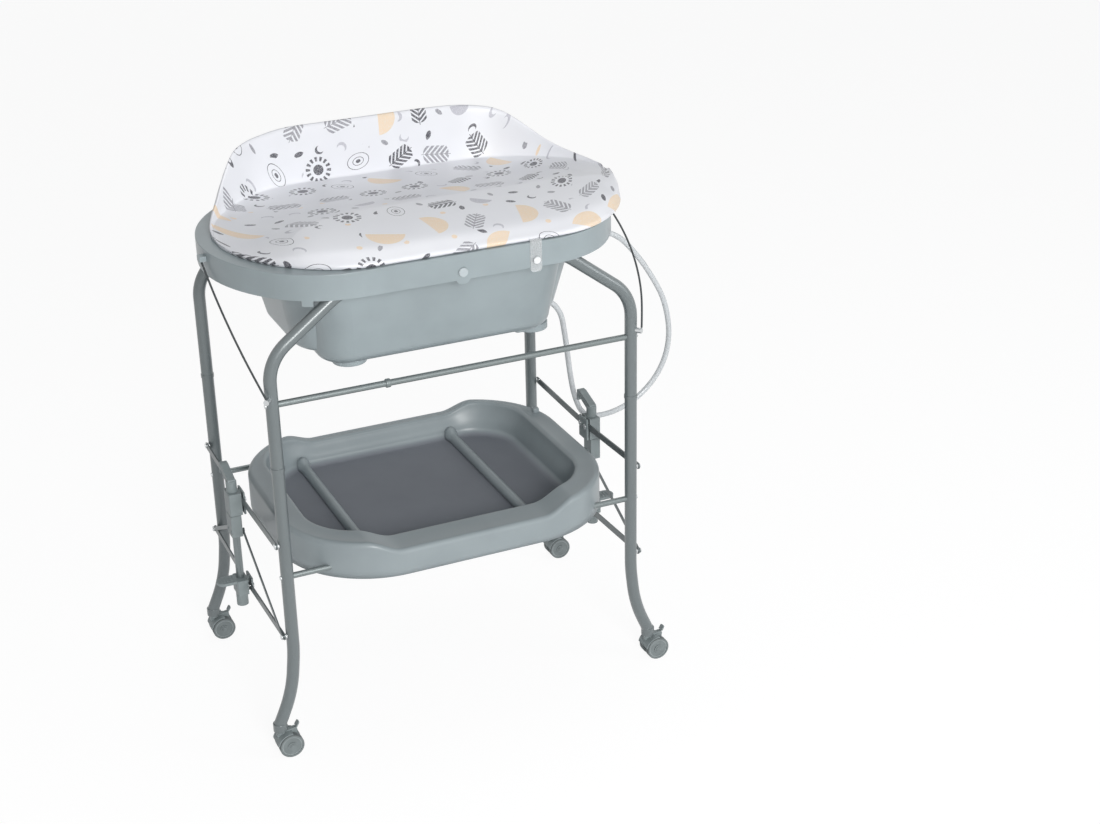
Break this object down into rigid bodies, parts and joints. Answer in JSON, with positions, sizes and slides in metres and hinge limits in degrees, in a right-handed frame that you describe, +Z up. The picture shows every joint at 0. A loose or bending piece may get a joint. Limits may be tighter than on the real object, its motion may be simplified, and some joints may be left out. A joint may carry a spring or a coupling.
{
  "type": "changing table with bathtub",
  "caption": "Folding changing table on casters with a grey baby bathtub, padded changing top, storage tray, drain hose and grey tube frame.",
  "frame": {"origin": "on the floor, under the middle of the outline", "axes": "+X along the tub to the right, +Y to the rear (the raised side of the pad), +Z up"},
  "size_m": [1.0879, 0.586, 1.1293],
  "materials": {
    "tube_upper": "satin grey paint",
    "tube_lower": "satin grey paint",
    "wire": "satin grey paint",
    "screws": "bright zinc",
    "links": "satin grey paint",
    "post": "satin grey paint",
    "pale_plastic": "semi-gloss",
    "tub": "semi-gloss",
    "tray": "semi-gloss",
    "grey_plastic": "matt",
    "fork_plastic": "matt",
    "wheel": "matt",
    "pad": "coated fabric",
    "strap": "clear",
    "hose": "clear grey",
    "cord": "matt",
    "rubber": "matt"
  },
  "bodies": {
    "rear_hoop": {"rear_arch": "tube_upper", "rear_leg_left": "tube_lower", "rear_leg_right": "tube_lower", "rear_lower_bar": "wire", "rear_fasteners": "screws"},
    "front_hoop": {"front_arch": "tube_upper", "front_leg_left": "tube_lower", "front_leg_right": "tube_lower", "front_lower_bar": "wire", "front_upper_bar": "wire", "front_fasteners": "screws"},
    "tray": {"tray": "tray"},
    "tub": {"tub": "tub", "drain_spigot": "pale_plastic", "drain_plug": "rubber", "strap_knob": "pale_plastic", "hose_hook": "pale_plastic", "drain_hose": "hose", "tether_left": "cord", "tether_right": "cord"},
    "rim_button": {"rim_button": "pale_plastic"},
    "pad": {"changing_pad": "pad", "pad_strap": "strap"},
    "left_post_unit": {"left_post": "post", "left_collar": "grey_plastic", "left_handle": "grey_plastic", "left_pedal": "grey_plastic", "left_post_pins": "screws"},
    "left_slider_unit": {"left_slider": "grey_plastic"},
    "right_post_unit": {"right_post": "post", "right_collar": "grey_plastic", "right_handle": "grey_plastic", "right_pedal": "grey_plastic", "right_post_pins": "screws"},
    "right_slider_unit": {"right_slider": "grey_plastic"},
    "upper_link_left_front_unit": {"upper_link_left_front": "links"},
    "lower_link_left_front_unit": {"lower_link_left_front": "links"},
    "rod_left_front_unit": {"rod_left_front": "links"},
    "caster_left_front_fork": {"caster_left_front_housing": "fork_plastic"},
    "caster_left_front_wheel_pair": {"caster_left_front_wheels": "wheel"},
    "caster_left_front_lever": {"caster_left_front_brake": "grey_plastic"},
    "upper_link_left_rear_unit": {"upper_link_left_rear": "links"},
    "lower_link_left_rear_unit": {"lower_link_left_rear": "links"},
    "rod_left_rear_unit": {"rod_left_rear": "links"},
    "caster_left_rear_fork": {"caster_left_rear_housing": "fork_plastic"},
    "caster_left_rear_wheel_pair": {"caster_left_rear_wheels": "wheel"},
    "caster_left_rear_lever": {"caster_left_rear_brake": "grey_plastic"},
    "upper_link_right_front_unit": {"upper_link_right_front": "links"},
    "lower_link_right_front_unit": {"lower_link_right_front": "links"},
    "rod_right_front_unit": {"rod_right_front": "links"},
    "caster_right_front_fork": {"caster_right_front_housing": "fork_plastic"},
    "caster_right_front_wheel_pair": {"caster_right_front_wheels": "wheel"},
    "caster_right_front_lever": {"caster_right_front_brake": "grey_plastic"},
    "upper_link_right_rear_unit": {"upper_link_right_rear": "links"},
    "lower_link_right_rear_unit": {"lower_link_right_rear": "links"},
    "rod_right_rear_unit": {"rod_right_rear": "links"},
    "caster_right_rear_fork": {"caster_right_rear_housing": "fork_plastic"},
    "caster_right_rear_wheel_pair": {"caster_right_rear_wheels": "wheel"},
    "caster_right_rear_lever": {"caster_right_rear_brake": "grey_plastic"}
  },
  "joints": [
    {"name": "fold", "type": "hinge", "parent": "rear_hoop", "child": "upper_link_left_rear_unit", "pos_m": [-0.3865, 0.269, 0.465], "axis": [-1, 0, 0], "range_deg": [0, 75]},
    {"name": "left_post_turn", "type": "hinge", "parent": "upper_link_left_rear_unit", "child": "left_post_unit", "pos_m": [-0.3865, 0.031, 0.4567], "axis": [-1, 0, 0], "range_deg": [-75, 0]},
    {"name": "upper_left_front_turn", "type": "hinge", "parent": "left_post_unit", "child": "upper_link_left_front_unit", "pos_m": [-0.3865, 0.007, 0.4567], "axis": [1, 0, 0], "range_deg": [0, 75]},
    {"name": "front_hoop_turn", "type": "hinge", "parent": "upper_link_left_front_unit", "child": "front_hoop", "pos_m": [-0.3865, -0.231, 0.465], "axis": [1, 0, 0], "range_deg": [-75, 0]},
    {"name": "upper_right_rear_turn", "type": "hinge", "parent": "rear_hoop", "child": "upper_link_right_rear_unit", "pos_m": [0.3865, 0.269, 0.465], "axis": [-1, 0, 0], "range_deg": [0, 75]},
    {"name": "right_post_turn", "type": "hinge", "parent": "upper_link_right_rear_unit", "child": "right_post_unit", "pos_m": [0.3865, 0.031, 0.4567], "axis": [-1, 0, 0], "range_deg": [-75, 0]},
    {"name": "upper_right_front_turn", "type": "hinge", "parent": "right_post_unit", "child": "upper_link_right_front_unit", "pos_m": [0.3865, 0.007, 0.4567], "axis": [1, 0, 0], "range_deg": [0, 75]},
    {"name": "lower_left_rear_turn", "type": "hinge", "parent": "rear_hoop", "child": "lower_link_left_rear_unit", "pos_m": [-0.3865, 0.269, 0.266], "axis": [-1, 0, 0], "range_deg": [0, 75]},
    {"name": "lower_left_front_turn", "type": "hinge", "parent": "front_hoop", "child": "lower_link_left_front_unit", "pos_m": [-0.3865, -0.231, 0.266], "axis": [1, 0, 0], "range_deg": [0, 75]},
    {"name": "rod_left_rear_turn", "type": "hinge", "parent": "rear_hoop", "child": "rod_left_rear_unit", "pos_m": [-0.38975, 0.269, 0.266], "axis": [-1, 0, 0], "range_deg": [0, 47.7]},
    {"name": "rod_left_front_turn", "type": "hinge", "parent": "front_hoop", "child": "rod_left_front_unit", "pos_m": [-0.38975, -0.231, 0.266], "axis": [1, 0, 0], "range_deg": [0, 47.7]},
    {"name": "left_slider_travel", "type": "slide", "parent": "left_post_unit", "child": "left_slider_unit", "axis": [0, 0, 1], "range_m": [-0.09917, 0]},
    {"name": "lower_right_rear_turn", "type": "hinge", "parent": "rear_hoop", "child": "lower_link_right_rear_unit", "pos_m": [0.3865, 0.269, 0.266], "axis": [-1, 0, 0], "range_deg": [0, 75]},
    {"name": "lower_right_front_turn", "type": "hinge", "parent": "front_hoop", "child": "lower_link_right_front_unit", "pos_m": [0.3865, -0.231, 0.266], "axis": [1, 0, 0], "range_deg": [0, 75]},
    {"name": "rod_right_rear_turn", "type": "hinge", "parent": "rear_hoop", "child": "rod_right_rear_unit", "pos_m": [0.38975, 0.269, 0.266], "axis": [-1, 0, 0], "range_deg": [0, 47.7]},
    {"name": "rod_right_front_turn", "type": "hinge", "parent": "front_hoop", "child": "rod_right_front_unit", "pos_m": [0.38975, -0.231, 0.266], "axis": [1, 0, 0], "range_deg": [0, 47.7]},
    {"name": "right_slider_travel", "type": "slide", "parent": "right_post_unit", "child": "right_slider_unit", "axis": [0, 0, 1], "range_m": [-0.09917, 0]},
    {"name": "tray_tip", "type": "hinge", "parent": "front_hoop", "child": "tray", "pos_m": [0, -0.231, 0.395], "axis": [1, 0, 0], "range_deg": [0, 78]},
    {"name": "tub_tip", "type": "hinge", "parent": "rear_hoop", "child": "tub", "pos_m": [0, 0.269, 0.957], "axis": [-1, 0, 0], "range_deg": [0, 90], "deforming": ["drain_hose", "tether_left", "tether_right"]},
    {"name": "pad_lift", "type": "hinge", "parent": "tub", "child": "pad", "pos_m": [0.02, 0.287, 0.998], "axis": [-1, 0, 0], "range_deg": [0, 90], "deforming": ["pad_strap"]},
    {"name": "button_press", "type": "slide", "parent": "tub", "child": "rim_button", "axis": [0, 1, 0], "range_m": [0, 0.003], "stiffness_N_per_m": 200},
    {"name": "caster_left_front_swivel", "type": "hinge", "parent": "front_hoop", "child": "caster_left_front_fork", "pos_m": [-0.411, -0.231, 0.063], "axis": [0, 0, 1], "continuous": true},
    {"name": "caster_left_front_roll", "type": "hinge", "parent": "caster_left_front_fork", "child": "caster_left_front_wheel_pair", "pos_m": [-0.395, -0.231, 0.025], "axis": [0, 1, 0], "continuous": true},
    {"name": "caster_left_front_brake", "type": "hinge", "parent": "caster_left_front_fork", "child": "caster_left_front_lever", "pos_m": [-0.383, -0.231, 0.0525], "axis": [0, 1, 0], "range_deg": [0, 20]},
    {"name": "caster_left_rear_swivel", "type": "hinge", "parent": "rear_hoop", "child": "caster_left_rear_fork", "pos_m": [-0.411, 0.269, 0.063], "axis": [0, 0, 1], "continuous": true},
    {"name": "caster_left_rear_roll", "type": "hinge", "parent": "caster_left_rear_fork", "child": "caster_left_rear_wheel_pair", "pos_m": [-0.395, 0.269, 0.025], "axis": [0, 1, 0], "continuous": true},
    {"name": "caster_left_rear_brake", "type": "hinge", "parent": "caster_left_rear_fork", "child": "caster_left_rear_lever", "pos_m": [-0.383, 0.269, 0.0525], "axis": [0, 1, 0], "range_deg": [0, 20]},
    {"name": "caster_right_front_swivel", "type": "hinge", "parent": "front_hoop", "child": "caster_right_front_fork", "pos_m": [0.411, -0.231, 0.063], "axis": [0, 0, 1], "continuous": true},
    {"name": "caster_right_front_roll", "type": "hinge", "parent": "caster_right_front_fork", "child": "caster_right_front_wheel_pair", "pos_m": [0.427, -0.231, 0.025], "axis": [0, 1, 0], "continuous": true},
    {"name": "caster_right_front_brake", "type": "hinge", "parent": "caster_right_front_fork", "child": "caster_right_front_lever", "pos_m": [0.439, -0.231, 0.0525], "axis": [0, 1, 0], "range_deg": [0, 20]},
    {"name": "caster_right_rear_swivel", "type": "hinge", "parent": "rear_hoop", "child": "caster_right_rear_fork", "pos_m": [0.411, 0.269, 0.063], "axis": [0, 0, 1], "continuous": true},
    {"name": "caster_right_rear_roll", "type": "hinge", "parent": "caster_right_rear_fork", "child": "caster_right_rear_wheel_pair", "pos_m": [0.427, 0.269, 0.025], "axis": [0, 1, 0], "continuous": true},
    {"name": "caster_right_rear_brake", "type": "hinge", "parent": "caster_right_rear_fork", "child": "caster_right_rear_lever", "pos_m": [0.439, 0.269, 0.0525], "axis": [0, 1, 0], "range_deg": [0, 20]}
  ],
  "couplings": [
    {"joint": "left_post_turn", "follows": "fold", "ratio": -1},
    {"joint": "upper_left_front_turn", "follows": "fold", "ratio": 1},
    {"joint": "front_hoop_turn", "follows": "fold", "ratio": -1},
    {"joint": "upper_right_rear_turn", "follows": "fold", "ratio": 1},
    {"joint": "right_post_turn", "follows": "fold", "ratio": -1},
    {"joint": "upper_right_front_turn", "follows": "fold", "ratio": 1},
    {"joint": "lower_left_rear_turn", "follows": "fold", "ratio": 1},
    {"joint": "lower_left_front_turn", "follows": "fold", "ratio": 1},
    {"joint": "rod_left_rear_turn", "follows": "fold", "ratio": 0.636},
    {"joint": "rod_left_front_turn", "follows": "fold", "ratio": 0.636},
    {"joint": "left_slider_travel", "follows": "fold", "m_per_rad": -0.075755},
    {"joint": "lower_right_rear_turn", "follows": "fold", "ratio": 1},
    {"joint": "lower_right_front_turn", "follows": "fold", "ratio": 1},
    {"joint": "rod_right_rear_turn", "follows": "fold", "ratio": 0.636},
    {"joint": "rod_right_front_turn", "follows": "fold", "ratio": 0.636},
    {"joint": "right_slider_travel", "follows": "fold", "m_per_rad": -0.075755},
    {"joint": "tray_tip", "follows": "fold", "ratio": 1.04},
    {"joint": "tub_tip", "follows": "fold", "ratio": 1.2}
  ]
}
